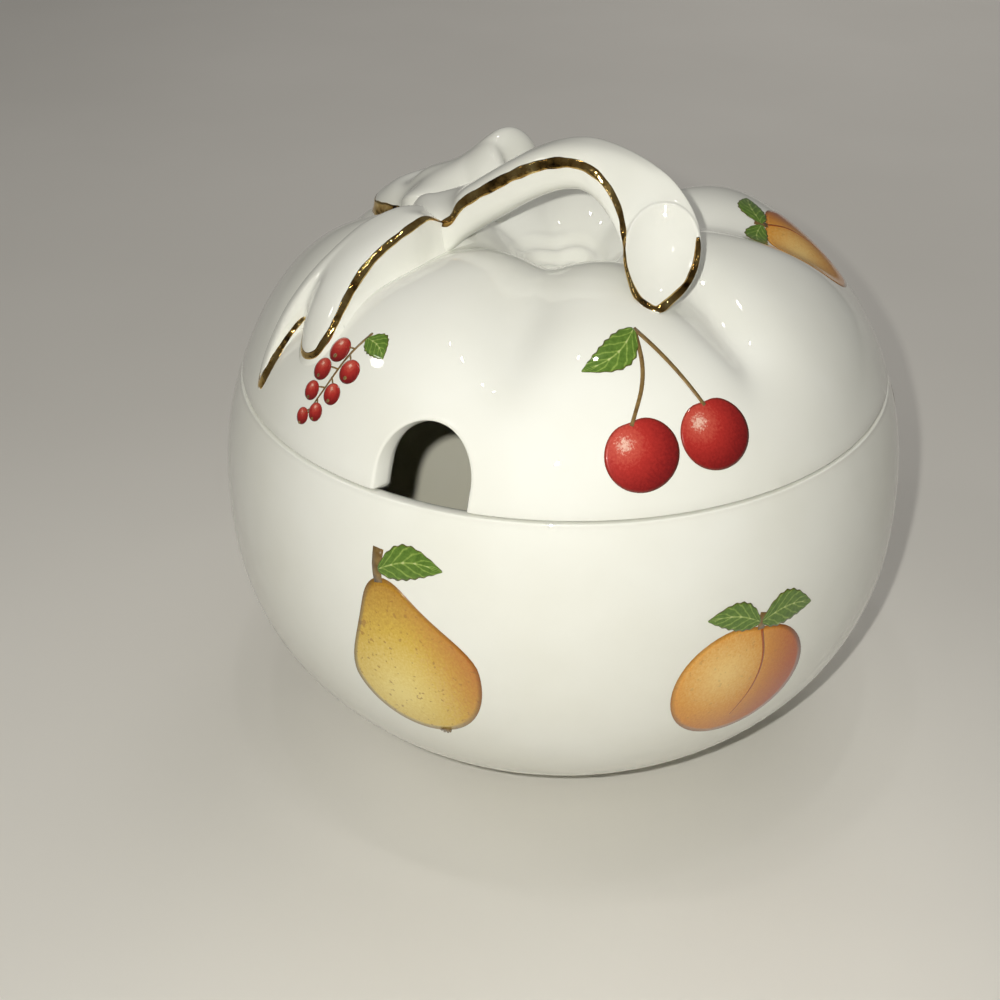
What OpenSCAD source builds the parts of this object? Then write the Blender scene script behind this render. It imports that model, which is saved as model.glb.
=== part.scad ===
// Apple-shaped porcelain jam pot: a footed bowl, a lobed lid with a spoon notch,
// and a twig handle with two leaves laid on the lid.
// Millimetres, +Z up. The origin is the centre of the foot, on the table.
// The spoon notch faces -Y, and the twig runs along X with its cut end on +X.

/* [Bowl] */
// Largest diameter of the pot
pot_d = 120; // [100:1:140]
// Height of the widest level above the table
belly_z = 44.5; // [40:0.5:52]
// How far below the table the lower curve would close
lower_run = 3.2; // [2.4:0.1:6]
// Fullness of the lower curve, 2 is an ellipse
lower_fullness = 2.2; // [2:0.05:2.8]
// Thickness of the bowl's wall
bowl_wall = 4; // [3:0.1:5]
// Thickness of the bowl's floor
floor_t = 4; // [3:0.1:6]
// Rounding of the bowl's rim
rim_round = 0.8; // [0.4:0.1:1.4]
// Fall of the bowl's rim from its top to the inner wall
rim_fall = 2.4; // [0.8:0.1:3]

/* [Foot] */
// Height of the foot ring
foot_h = 1.5; // [1:0.1:3]
// How far the foot ring stands in from the curve above it
foot_inset = 2; // [1:0.1:4]
// Width of the foot ring
foot_w = 4; // [3:0.1:6]

/* [Lid] */
// Height of the dome above the widest level, before the dimple is sunk
dome_h = 52.5; // [46:0.5:58]
// Fullness of the upper curve, 2 is an ellipse
upper_fullness = 2.35; // [2:0.05:2.8]
// Swell of the lid's shoulder over that curve
lid_swell = 1.6; // [0:0.1:3]
// Height of the joint between lid and bowl above the widest level
seam_rise = 24; // [20:0.5:30]
// Thickness of the lid
lid_wall = 4; // [3:0.1:5]
// Gap between the lid's rim and the bowl's rim
rim_gap = 0.25; // [0.2:0.05:0.5]
// How far the locating flange reaches into the bowl
flange_drop = 4; // [2:0.5:8]
// Width of the locating flange
flange_w = 3; // [2:0.1:4]
// Gap between the flange and the bowl's mouth
flange_gap = 0.6; // [0.4:0.1:1.2]

/* [Apple form] */
// Depth of the dimple
dimple_depth = 15; // [8:0.5:20]
// Radius over which the dimple falls away
dimple_r = 13.5; // [10:0.5:16]
// Number of lobes round the dimple
lobes = 7; // [5:1:9]
// Depth of the grooves between the lobes
groove_depth = 4.5; // [1:0.1:6]
// Spread of each groove on the shoulder, as a share of a lobe
groove_spread = 0.55; // [0.3:0.05:0.7]
// Spread of each groove beside the dimple, as a share of a lobe
groove_wide = 0.95; // [0.5:0.05:1.2]
// Direction of the first groove, seen from above
groove_turn = -80; // [-180:1:180]

/* [Spoon notch] */
// Width of the notch
notch_w = 13.2; // [10:0.2:20]
// Height of its straight sides under the round arch
notch_side = 3; // [1:0.2:8]

/* [Twig handle] */
// Length of the twig in plan
twig_l = 41.4; // [36:0.2:46]
// Where the twig's middle lies along X
twig_x = 2; // [0:0.2:6]
// Where the twig lies along Y
twig_y = -11.2; // [-16:0.2:-6]
// Width of the twig
twig_w = 9.8; // [8:0.2:12]
// Width of the twig at its root
root_w = 11.6; // [9:0.2:13]
// Thickness of the twig
twig_t = 7; // [5:0.1:8]
// How much of that thickness is lost in the lid at the root
twig_sink = 3; // [1:0.1:4]
// Height of the arch over the line between the twig's two ends
arch_rise = 10.8; // [6:0.2:14]
// Place of the arch's top along the twig, above 1 is nearer the cut end
arch_lean = 1.38; // [1.2:0.02:1.8]
// Height of the oval cut end along its face
cut_h = 17.6; // [12:0.2:20]
// Width of the oval cut end
cut_w = 11.5; // [9:0.1:14]
// Depth of the hollow in the cut end
cut_hollow = 1.6; // [0.5:0.1:2.5]
// How far the cut end comes forward of the twig
cut_forward = 7.4; // [3:0.2:9]

/* [Leaves] */
// Length of the front leaf along its midrib
front_leaf_l = 33; // [28:0.5:40]
// Width of the front leaf near the twig
front_leaf_w = 11.4; // [8:0.2:13]
// Width of the front leaf across its two tips
front_tips_w = 17; // [13:0.2:19]
// Thickness of the front leaf
front_leaf_t = 3.6; // [3:0.1:6]
// Mean radius of the rear leaf
rear_leaf_r = 13; // [9:0.2:14.5]
// Thickness of the rear leaf at its low side
rear_leaf_t = 2.6; // [1.5:0.1:4]
// Height of the rear leaf's curled hump
rear_hump = 6.2; // [3:0.2:9]
// Gap under the twig and the leaves, and between them
seat_gap = 0.35; // [0.3:0.05:0.5]

/* [Hidden] */
$fn = 96;

porcelain = [0.90, 0.90, 0.88];
porcelain_warm = [0.93, 0.92, 0.88];
eps = 0.01;

// Outer curve of the pot
pot_r = pot_d / 2;
lower_c = belly_z + lower_run;
seam_z = belly_z + seam_rise;
function curve(share, fullness) = pow(max(0, 1 - pow(min(1, share), fullness)), 1 / fullness);
function body_r(z, inset = 0) = z < belly_z
    ? (pot_r - inset) * curve((belly_z - z) / (lower_c - inset), lower_fullness)
    : (pot_r - inset) * curve((z - belly_z) / (dome_h - inset), upper_fullness);

// Bowl
floor_z = foot_h + floor_t;
foot_r = body_r(foot_h) - foot_inset;
mouth_r = body_r(seam_z, bowl_wall);
lip_in_r = body_r(seam_z - rim_fall, bowl_wall);
lip_w = body_r(seam_z - rim_round) - rim_round - lip_in_r;
profile_steps = 28;
round_steps = 5;
rim_mid = 45;

// Lid
rim_z = seam_z + rim_gap;
edge_z = rim_z + rim_round;
edge_r = body_r(edge_z);
flange_r = mouth_r - flange_gap;
flange_z = seam_z - flange_drop;
flange_in_r = flange_r - flange_w;
notch_under = 2 * flange_drop;
lobe_steps = 12;
turn_steps = lobe_steps * lobes;
outer_steps = 20;
inner_steps = 12;
peak = 27 / 4;
groove_from = 15;
groove_over = 30;
function ease(t) = let(s = max(0, min(1, t))) s * s * (3 - 2 * s);
function blend(a, b, t) = a + (b - a) * t;
function groove_at(r) = blend(groove_wide, groove_spread, ease((r - groove_from) / groove_over));
function groove(r, a) = exp(-pow(sin(lobes * (a - groove_turn) / 2) / groove_at(r), 2));
function area_share(r) = min(1, pow(r / edge_r, 2));
function groove_fade(r) = let(t = area_share(r)) peak * t * pow(1 - t, 2);
function swell(r) = let(t = area_share(r)) lid_swell * peak * t * t * (1 - t);
function dimple(r) = dimple_depth * exp(-pow(r / dimple_r, 2));
function smooth_top(r) = belly_z + dome_h * curve(r / pot_r, upper_fullness) + swell(r) - dimple(r);
function sunk(r, a) = groove_depth * groove_fade(r) * groove(r, a);
function lid_top(x, y) = let(r = norm([x, y])) smooth_top(r) - sunk(r, atan2(y, x));
function steepness(r) = norm([1, (smooth_top(r + eps) - smooth_top(r - eps)) / (2 * eps)]);
function grooves_at(p) = sunk(norm(p), atan2(p[1], p[0]));
function lift(r) = seat_gap * steepness(r);
function seat(x, y) = lid_top(x, y) + lift(norm([x, y]));
function lid_under(r, a) = belly_z
    + (dome_h - lid_wall) * curve(r / (pot_r - lid_wall), upper_fullness)
    + swell(r) - dimple(r) - sunk(r, a);

// Twig
twig_rings = 44;
twig_sides = 24;
twig_start = twig_x - twig_l / 2;
cut_yaw = -75;
cut_pitch = 38;
cut_slant = 20;
cut_tip = 1.25;
arch_to = 0.62;
end_run = 13;
mitre = 35;
mitre_to = 0.22;
root_to = 0.35;
twig_square = 2.9;
hollow_shares = [0.8, 0.55, 0.25];
cut_along = [cos(cut_pitch) * cos(cut_yaw), cos(cut_pitch) * sin(cut_yaw), sin(cut_pitch)];
cut_across = [-sin(cut_yaw), cos(cut_yaw), 0];
cut_rise = cross(cut_along, cut_across);
cut_run = sin(cut_slant) * cut_along - cos(cut_slant) * cut_rise;
cut_x = twig_start + twig_l;
cut_y = twig_y - cut_forward;
cut_low = [cut_x, cut_y] - cut_h / 2 * [cut_rise[0], cut_rise[1]];
start_z = lid_top(twig_start, twig_y) + twig_t / 2 - twig_sink;
end_z = lid_top(cut_low[0], cut_low[1]) + cut_h / 2 * cut_rise[2] + seat_gap;
function twig_z(u) = blend(start_z, end_z, u) + arch_rise * sin(180 * pow(max(0, u), arch_lean));
function twig_slope(u) = (twig_z(u + eps) - twig_z(u - eps)) / (2 * eps);
function oval(a) = [sign(cos(a)) * pow(abs(cos(a)), 2 / twig_square),
    sign(sin(a)) * pow(abs(sin(a)), 2 / twig_square)];
function egg(a) = [cos(a) * (sin(a) < 0 ? pow(abs(cos(a)), cut_tip - 1) : 1), sin(a)];
function twig_half_w(u) = blend(root_w, twig_w, ease(u / root_to)) / 2;

// Front leaf: the midrib is a curve from the twig's end down to the two tips. The leaf meets
// the twig in a mitre, so its ribs lie along that face at first and then turn square.
leaf_heading = -117;
leaf_bend = 12;
mitre_side = [sin(mitre), -cos(mitre)];
mitre_out = [cos(mitre), sin(mitre)];
leaf_shift = 1;
leaf_rings = 26;
leaf_across = 12;
tips_from = 0.45;
tip_notch = 0.22;
back_notch_w = 0.2;
front_notch_w = 0.5;
tip_notch_at = -0.38;
tip_lag = 0.03;
tip_round = 0.13;
tip_square = 8;
ribs_turn = 0.4;
base_edge = 0.75;
tips_edge = 0.2;
leaf_crown = 2.6;
end_crown = 2;
bridge_from = 0.2;
bridge_to = 0.75;
root_back = 0.3;
root_rise = 0.44;
leaf_start = [twig_start, twig_y] + leaf_shift * mitre_side - seat_gap * mitre_out;
leaf_mid = leaf_start + front_leaf_l / 2 * [cos(leaf_heading), sin(leaf_heading)];
leaf_end = leaf_mid + front_leaf_l / 2 * [cos(leaf_heading + leaf_bend), sin(leaf_heading + leaf_bend)];
function midrib(u) = pow(1 - u, 2) * leaf_start + 2 * u * (1 - u) * leaf_mid + u * u * leaf_end;
function midrib_run(u) = (1 - u) * (leaf_mid - leaf_start) + u * (leaf_end - leaf_mid);
function square_to_run(d) = [-d[1], d[0]] / norm(d);
function midrib_side(u) = let(d = blend(mitre_side, square_to_run(midrib_run(u)), ease(u / ribs_turn)))
    d / norm(d);
function leaf_half_w(u) = blend(front_leaf_w, front_tips_w, ease((u - tips_from) / (1 - tips_from))) / 2;
function notch_w(v) = v < tip_notch_at ? back_notch_w : front_notch_w;
function leaf_reach(v) = 1 - tip_lag * (1 + v) - tip_round * pow(v, tip_square)
    - tip_notch * exp(-pow((v - tip_notch_at) / notch_w(v), 2));
function leaf_at(s, v) = let(u = s * leaf_reach(v)) midrib(u) + v * leaf_half_w(u) * midrib_side(u);

// Rear leaf: five blunt lobes round a centre beside the dimple, with a curled hump
rear_at = [-22.5, 9];
hump_at = [-12.5, 12.5];
hump_spread = 10.5;
rear_lobes = 5;
rear_turn = 183;
rear_lobe = 0.16;
rear_lean = 150;
rear_stretch = 0.28;
rear_edge = 0.7;
rear_crown = 3;
rear_bridge = 2;
rear_sides = 60;
rear_rings = 9;
function rear_reach(a) = rear_leaf_r
    * (1 + rear_lobe * cos(rear_lobes * (a - rear_turn)) + rear_stretch * cos(a - rear_lean));
function rear_point(s, a) = rear_at + s * rear_reach(a) * [cos(a), sin(a)];
function rear_height(s, p) = rear_leaf_t * rear_edge + curve(s, rear_crown)
    * (rear_leaf_t * (1 - rear_edge) + rear_hump * exp(-pow(norm(p - hump_at) / hump_spread, 2)));

// Faces of a closed skin over rings of equal length. Each end is closed by a fan to its
// own middle, or by a strip from the ring's first half to its second half.
function middle(ring) = [for (i = [0:2]) sum_of(ring, i) / len(ring)];
function sum_of(ring, i, k = 0) = k == len(ring) ? 0 : ring[k][i] + sum_of(ring, i, k + 1);

module skin(rings, ends = "fan") {
    n = len(rings[0]);
    last = len(rings) - 1;
    half = n / 2;
    points = concat([for (ring = rings) each ring], [middle(rings[0]), middle(rings[last])]);
    walls = [for (k = [0:last - 1], i = [0:n - 1])
        let(a = k * n + i, b = k * n + (i + 1) % n, c = a + n, d = b + n)
        each [[a, b, d], [a, d, c]]];
    fans = [for (i = [0:n - 1])
        let(j = (i + 1) % n, first = (last + 1) * n)
        each [[j, i, first], [last * n + i, last * n + j, first + 1]]];
    strips = [for (i = [0:half - 2])
        let(a = i, b = i + 1, c = n - 2 - i, d = n - 1 - i, top = last * n)
        each [[b, a, d], [b, d, c], [top + a, top + b, top + d], [top + b, top + c, top + d]]];
    if (ends == "fan") polyhedron(points, concat(walls, fans), convexity = 8);
    else polyhedron([for (ring = rings) each ring], concat(walls, strips), convexity = 8);
}

function round_ring(r, z) = [for (i = [0:turn_steps - 1])
    let(a = 360 * i / turn_steps) [r * cos(a), r * sin(a), z]];

// The bowl, turned round its axis, with a foot ring under it
module pot() {
    outer = [for (k = [0:profile_steps])
        let(z = blend(foot_h, seam_z - rim_round, k / profile_steps)) [body_r(z), z]];
    inner = [for (k = [profile_steps:-1:0])
        let(z = blend(floor_z, seam_z - rim_fall, k / profile_steps)) [body_r(z, bowl_wall), z]];
    outer_round = [for (k = [1:round_steps])
        let(a = 90 * k / round_steps)
        [body_r(seam_z - rim_round) - rim_round * (1 - cos(a)), seam_z - rim_round * (1 - sin(a))]];
    inner_round = [for (k = [0:round_steps - 1])
        let(a = 90 - 90 * k / round_steps)
        [lip_in_r + lip_w * (1 - cos(a)), seam_z - rim_fall * (1 - sin(a))]];
    foot = [[0, foot_h], [foot_r - foot_w, foot_h], [foot_r - foot_w, 0], [foot_r, 0], [foot_r, foot_h]];
    color(porcelain)
    rotate_extrude()
    polygon(concat(foot, outer, outer_round, inner_round, inner, [[0, floor_z]]));
}

// The lid: lobed dome, rim, locating flange and underside in one skin, less the notch
module lid() {
    outer = [for (k = [1:outer_steps - 1])
        let(r = edge_r * sin(90 * k / outer_steps))
        [for (i = [0:turn_steps - 1])
            let(a = 360 * i / turn_steps) [r * cos(a), r * sin(a), lid_top(r * cos(a), r * sin(a))]]];
    rim = [round_ring(edge_r, edge_z),
        round_ring(edge_r - rim_round * (1 - cos(rim_mid)), edge_z - rim_round * sin(rim_mid)),
        round_ring(edge_r - rim_round, rim_z),
        round_ring(flange_r, rim_z),
        round_ring(flange_r, flange_z),
        round_ring(flange_in_r, flange_z)];
    inner = [for (k = [inner_steps:-1:1])
        let(r = flange_in_r * sin(90 * k / inner_steps))
        [for (i = [0:turn_steps - 1])
            let(a = 360 * i / turn_steps) [r * cos(a), r * sin(a), lid_under(r, a)]]];
    color(porcelain_warm)
    difference() {
        skin(concat(outer, rim, inner));
        spoon_notch();
    }
}

// The arch-topped opening for the spoon's handle, through the rim on the -Y side
module spoon_notch() {
    translate([0, -flange_in_r / 2, rim_z])
    rotate([90, 0, 0])
    linear_extrude(height = pot_r)
    union() {
        translate([-notch_w / 2, -notch_under])
        square([notch_w, notch_under + notch_side]);
        translate([0, notch_side])
        circle(d = notch_w);
    }
}

// The twig: it rises off the lid, arches over the dimple's edge and comes down
// on the lid again, where its oval cut end turns to the front
module stem_handle() {
    rings = [for (k = [0:twig_rings])
        let(u = k / twig_rings)
        [for (i = [0:twig_sides - 1]) settled(twig_point(u, -360 * i / twig_sides))]];
    hollow = [for (share = hollow_shares)
        [for (i = [0:twig_sides - 1])
            settled(cut_point(share, cut_hollow * (1 - share * share), -360 * i / twig_sides))]];
    color(porcelain)
    skin(concat(rings, hollow));
}

function settled(p) = [p[0], p[1], max(p[2], seat(p[0], p[1]))];

// The arch; near the leaf its sections lean over into the mitre
function arch_point(u, a) = let(
        mitred = 1 - ease(u / mitre_to),
        pitch = atan2(twig_slope(u), twig_l) * (1 - mitred),
        across = [-tan(mitre) * mitred, 1, 0],
        rise = [-sin(pitch), 0, cos(pitch)])
    [twig_start + twig_l * u, twig_y, twig_z(u)]
    + twig_half_w(u) * oval(a)[0] * across + twig_t / 2 * oval(a)[1] * rise;

function cut_point(share, back, a) = [cut_x, cut_y, end_z] - back * cut_along
    + share * (cut_w / 2 * egg(a)[0] * cut_across + cut_h / 2 * egg(a)[1] * cut_rise);

// The arch first, then a smooth run from its last section into the cut end
function twig_point(u, a) = u <= arch_to
    ? arch_point(u, a)
    : run_point((u - arch_to) / (1 - arch_to), a);

function run_point(t, a) = (1 - ease(t)) * arch_point(arch_to, a)
    + t * pow(1 - t, 2) * (1 - arch_to) * [twig_l, 0, twig_slope(arch_to)]
    + ease(t) * cut_point(1, 0, a)
    - t * t * (1 - t) * end_run * cut_run;

// The front leaf: a puffy blade lying down the lid's shoulder, with two tips
module front_leaf() {
    rings = [for (k = [0:leaf_rings])
        let(s = k / leaf_rings)
        concat(
            [for (i = [0:leaf_across])
                let(v = 2 * i / leaf_across - 1, p = leaf_at(s, v))
                [p[0], p[1], seat(p[0], p[1]) + leaf_height(s, v, p)]],
            [for (i = [leaf_across:-1:0])
                let(v = 2 * i / leaf_across - 1, p = leaf_at(s, v))
                [p[0], p[1], seat(p[0], p[1])]])];
    color(porcelain_warm)
    skin(rings, "strip");
}

// Height over the lid's grooves and lobes: the leaf bridges the grooves near the twig,
// lies in them near its tips, and is lower where it goes into the crease at the twig
function leaf_height(s, v, p) = let(
        edge = blend(base_edge, tips_edge, s),
        bridge = grooves_at(p) * (1 - ease((s - bridge_from) / (bridge_to - bridge_from))),
        blade = front_leaf_t * (edge + (1 - edge) * curve(abs(v), leaf_crown) * curve(s, end_crown)))
    (bridge + blade) * ease((s + root_back) / root_rise);

// The rear leaf: a lobed, thick leaf on the lid's shoulder behind the twig
module rear_leaf() {
    top = [for (k = [1:rear_rings])
        let(s = k / rear_rings)
        [for (i = [0:rear_sides - 1])
            let(a = 360 * i / rear_sides, p = rear_point(s, a))
            [p[0], p[1], seat(p[0], p[1]) + grooves_at(p) * curve(s, rear_bridge) + rear_height(s, p)]]];
    under = [for (k = [rear_rings:-1:1])
        let(s = k / rear_rings)
        [for (i = [0:rear_sides - 1])
            let(a = 360 * i / rear_sides, p = rear_point(s, a))
            [p[0], p[1], seat(p[0], p[1])]]];
    color(porcelain)
    skin(concat(top, under));
}

pot();
lid();
stem_handle();
front_leaf();
rear_leaf();
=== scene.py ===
"""Looks of an apple-shaped porcelain jam pot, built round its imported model.

Forms are worked out in millimetres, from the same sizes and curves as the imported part,
and become metres when a mesh is made. Angles are in degrees until they are used.
"""

import math

import bmesh
import bpy
import numpy as np
from mathutils import Matrix, Vector
from mathutils.bvhtree import BVHTree
from mathutils.geometry import delaunay_2d_cdt


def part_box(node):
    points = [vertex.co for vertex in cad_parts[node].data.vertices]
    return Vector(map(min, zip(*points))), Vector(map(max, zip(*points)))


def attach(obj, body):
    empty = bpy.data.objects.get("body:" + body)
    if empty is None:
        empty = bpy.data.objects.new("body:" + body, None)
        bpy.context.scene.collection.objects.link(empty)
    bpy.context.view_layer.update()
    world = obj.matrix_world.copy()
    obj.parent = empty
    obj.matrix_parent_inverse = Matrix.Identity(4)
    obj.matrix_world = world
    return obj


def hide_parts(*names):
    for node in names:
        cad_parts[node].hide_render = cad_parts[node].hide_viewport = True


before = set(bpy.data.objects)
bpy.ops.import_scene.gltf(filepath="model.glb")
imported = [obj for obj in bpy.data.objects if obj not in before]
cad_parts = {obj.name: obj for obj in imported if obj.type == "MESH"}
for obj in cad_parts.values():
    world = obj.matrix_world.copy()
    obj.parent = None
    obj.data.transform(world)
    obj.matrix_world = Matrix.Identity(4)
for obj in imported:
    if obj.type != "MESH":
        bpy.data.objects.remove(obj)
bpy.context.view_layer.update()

MM = 0.001
WELD = 2e-6

# Bowl
POT_R = 60.0
BELLY_Z = 44.5
LOWER_RUN = 3.2
LOWER_FULLNESS = 2.2
BOWL_WALL = 4.0
FLOOR_T = 4.0
RIM_FALL = 2.4
FOOT_H = 1.5
FOOT_INSET = 2.0
FOOT_W = 4.0
FOOT_ROUND = 0.7
FOOT_RUN = 1.0
BARE_Z = 0.28
BOWL_SEGMENTS = 216
WALL_STEPS = 90
LIP_STEPS = 14
FLOOR_STEPS = 16
SEAM_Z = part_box("pot")[1].z / MM

# Lid
DOME_H = 52.5
UPPER_FULLNESS = 2.35
LID_SWELL = 1.6
LID_WALL = 4.0
RIM_GAP = 0.3
EDGE_ROUND = 0.3
LID_FALL = 0.55
FLANGE_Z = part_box("lid")[0].z / MM
FLANGE_W = 3.0
FLANGE_GAP = 0.6
FLANGE_TOP = 74.5
FLANGE_ROUND = 0.9
FLANGE_SHOULDER = 1.0
DIMPLE_DEPTH = 15.0
DIMPLE_R = 13.5
LOBES = 7
GROOVE_DEPTH = 4.5
GROOVE_WIDE = 0.95
GROOVE_SPREAD = 0.55
GROOVE_FROM = 15.0
GROOVE_OVER = 30.0
GROOVE_TURN = -80
PEAK = 27 / 4
RIPPLE = 0.4
RIPPLE_R = 5.0
RIPPLE_SPREAD = 3.6
RIPPLE_STEP = 2.9
RIPPLE_SHIFT = 1.0
RIPPLE_SWAY = 0.7
RIPPLE_SWAYS = 3
RIPPLE_TURN = 0.6
RIPPLE_EDGE = 4
SOFT_RISE = 1.8
SOFT_LINE = dict(turn=22.9, sweep=0.0, width=9.0, middle=33.0, length=13.0)
SWELL_AT = (19.0, 29.0)
SWELL_RISE = 1.4
SWELL_SPREAD = 12.0
CREASE_DEPTH = 1.3
CREASE_LINE = dict(turn=-27.5, sweep=0.45, width=2.8, middle=37.0, length=8.0)
RIM_STEPS = 300
EDGE_STEPS = 7
FLANGE_STEPS = 240
TOP_SPACING = 0.9
UNDER_SPACING = 1.3
FINE_R = 11.0
FINE_STEP = 0.45
RINGS_SHARE = 1.25
RIM_CLEAR = 0.5
NOTCH_CLEAR = 0.6
INSIDE_ONLY = 1
SAME_POINT = 1e-7

# Spoon notch
NOTCH_W = 13.2
NOTCH_SIDE = 3.0
NOTCH_SPLAY = 1.0
NOTCH_EDGE = 0.6
NOTCH_INNER_ROUND = 1.0
NOTCH_NECK = (0.15, 2.2)
NOTCH_DEPTH = 2.7
NOTCH_ROUND = 0.45
SIDE_STEPS = 9
ARCH_STEPS = 61
HALVINGS = 40

# Twig handle
TWIG_L = 41.4
TWIG_START = -18.7
TWIG_Y = -11.2
TWIG_W = 9.8
ROOT_W = 11.6
ROOT_TO = 0.35
TWIG_T = 7.0
TWIG_SINK = 3.0
ARCH_RISE = 10.8
ARCH_LEAN = 1.38
CUT_H = 17.6
CUT_HOLLOW = 1.6
CUT_FORWARD = 7.4
CUT_YAW = -75
CUT_PITCH = 38
CUT_W = 11.5
CUT_SLANT = 20
CUT_POINT = 1.25
ARCH_TO = 0.62
END_RUN = 13.0
MITRE = 35
MITRE_TO = 0.22
TWIG_SQUARE = 2.9
NOSE = 0.11
BROW = 0.9
BROW_FROM = 0.86
BROW_BACK = 0.6
CUT_LIP = ((0.985, -0.2), (0.955, -0.3), (0.92, -0.26), (0.88, -0.1))
HOLLOW_R = 0.86
HOLLOW_FROM = 0.84
HOLLOW_STEPS = 14
NOSE_STEPS = 12
TWIG_STEPS = 150
TWIG_POINTS = 72
SLOPE_STEP = 0.01

# Slip that joins twig and leaves to the lid
SLIP_ROUND = 0.6
SLIP_SINK = 0.35
SLIP_FLARE = 0.8
SLIP_REACH = 1.1
LEAF_SKIRT = 1.3
SKIRT_FALL = 2.4
SKIRT_STEPS = 9

# Front leaf
LEAF_L = 33.0
LEAF_W = 11.4
TIPS_W = 17.0
LEAF_T = 3.6
LEAF_HEADING = -117
LEAF_BEND = 12
LEAF_SHIFT = 1.0
ROOT_BACK = 0.3
ROOT_RISE = 0.44
BACK_ROOT_RISE = 0.72
TIPS_FROM = 0.45
TIP_NOTCH = 0.22
BACK_NOTCH_W = 0.2
FRONT_NOTCH_W = 0.5
TIP_NOTCH_AT = -0.38
TIP_LAG = 0.03
TIP_ROUND = 0.13
TIP_SQUARE = 8
RIBS_TURN = 0.4
BASE_EDGE = 0.75
TIPS_EDGE = 0.2
BRIDGE_FROM = 0.8
BRIDGE_TO = 1.3
LEAF_CROWN = 2.6
END_CROWN = 3.2
LEAF_STEPS = 120
LEAF_POINTS = 56

# Rear leaf
REAR_R = 13.0
REAR_T = 2.6
REAR_HUMP = 7.2
REAR_AT = np.array([-23.0, 8.8])
HUMP_AT = np.array([-12.5, 12.5])
HUMP_SPREAD = 9.7
HUMP_FALL = 3
REAR_LOBES = 5
REAR_TURN = 183
REAR_LOBE = 0.16
REAR_LEAN = 150
REAR_STRETCH = 0.28
REAR_EDGE = 0.7
REAR_CROWN = 3
FOLD_DEPTH = 1.4
FOLD_AT = 10.6
FOLD_W = 2.0
FOLD_SPREAD = 30
REAR_STEPS = 40
REAR_POINTS = 144

# Camera, fitted to the outline and the joint line of the photograph
IMAGE_SIDE = 1000
SENSOR = 36.0
FOCAL_PX = 1352
CAMERA_DISTANCE = 250.0
CAMERA_AZIMUTH = 22
CAMERA_ELEVATION = 31
CAMERA_ROLL = 1.12
BELLY_PX = (563.1, 467.0)

# Values that follow from these sizes
LOWER_C = BELLY_Z + LOWER_RUN
RIM_Z = SEAM_Z + RIM_GAP
EDGE_Z = RIM_Z + EDGE_ROUND
FLOOR_Z = FOOT_H + FLOOR_T
SPRING_Z = RIM_Z + NOTCH_SIDE
NOTCH_REACH = NOTCH_SPLAY + NOTCH_EDGE


def direction(angle):
    """Unit vector in plan at an angle in degrees."""
    turn = math.radians(angle)
    return np.array([math.cos(turn), math.sin(turn)])


def curve(share, fullness):
    """Height of a rounded profile at a share of its run, from 1 down to 0."""
    left = 1 - np.minimum(1, np.abs(share)) ** fullness
    return np.maximum(0, left) ** (1 / fullness)


def ease(t):
    """Smooth step from 0 to 1."""
    s = np.clip(t, 0, 1)
    return s * s * (3 - 2 * s)


def blend(a, b, t):
    """Value part of the way from a to b."""
    return a + (b - a) * t


def left_of(run):
    """Unit vector to the left of a run in plan."""
    side = np.stack([-run[..., 1], run[..., 0]], -1)
    return side / np.linalg.norm(side, axis=-1, keepdims=True)


def body_r(z, inset=0.0):
    """Radius of the pot's outer curve at a height, or of a curve inside it."""
    below = curve((BELLY_Z - z) / (LOWER_C - inset), LOWER_FULLNESS)
    above = curve((z - BELLY_Z) / (DOME_H - inset), UPPER_FULLNESS)
    return (POT_R - inset) * np.where(z < BELLY_Z, below, above)


EDGE_R = float(body_r(EDGE_Z))
INNER_R = float(body_r(RIM_Z, LID_WALL))
FLANGE_R = float(body_r(SEAM_Z, BOWL_WALL)) - FLANGE_GAP
FOOT_R = float(body_r(FOOT_H)) - FOOT_INSET


def lobed_dome(x, y, wall, edge_r):
    """Height of the lid's lobed and dimpled dome, or of its underside."""
    r = np.hypot(x, y)
    share = np.minimum(1, (r / edge_r) ** 2)
    wave = np.sin(LOBES * (np.arctan2(y, x) - math.radians(GROOVE_TURN)) / 2)
    spread = blend(GROOVE_WIDE, GROOVE_SPREAD, ease((r - GROOVE_FROM) / GROOVE_OVER))
    groove = np.exp(-(wave / spread) ** 2)
    return smooth_dome(r, wall, edge_r) - GROOVE_DEPTH * PEAK * share * (1 - share) ** 2 * groove


def smooth_dome(r, wall, edge_r):
    """The same dome without its grooves."""
    share = np.minimum(1, (r / edge_r) ** 2)
    swell = LID_SWELL * PEAK * share * share * (1 - share)
    dimple = DIMPLE_DEPTH * np.exp(-(r / DIMPLE_R) ** 2)
    return BELLY_Z + (DOME_H - wall) * curve(r / (POT_R - wall), UPPER_FULLNESS) + swell - dimple


def wrinkles(x, y):
    """Small rings round the bottom of the dimple."""
    r = np.hypot(x + RIPPLE_SHIFT, y)
    sway = RIPPLE_SWAY * np.sin(RIPPLE_SWAYS * np.arctan2(y, x) + RIPPLE_TURN)
    fade = np.exp(-((r - RIPPLE_R) / RIPPLE_SPREAD) ** RIPPLE_EDGE)
    return RIPPLE * np.cos(2 * math.pi * (r + sway) / RIPPLE_STEP) * fade


def furrow(x, y, turn, sweep, width, middle, length):
    """A furrow down the lid, 1 at its middle; its angle sweeps with the radius."""
    r = np.hypot(x, y)
    off = np.radians(np.degrees(np.arctan2(y, x)) - turn + sweep * (r - middle)) * r / width
    return np.exp(-off ** 2 - ((r - middle) / length) ** 2)


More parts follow.
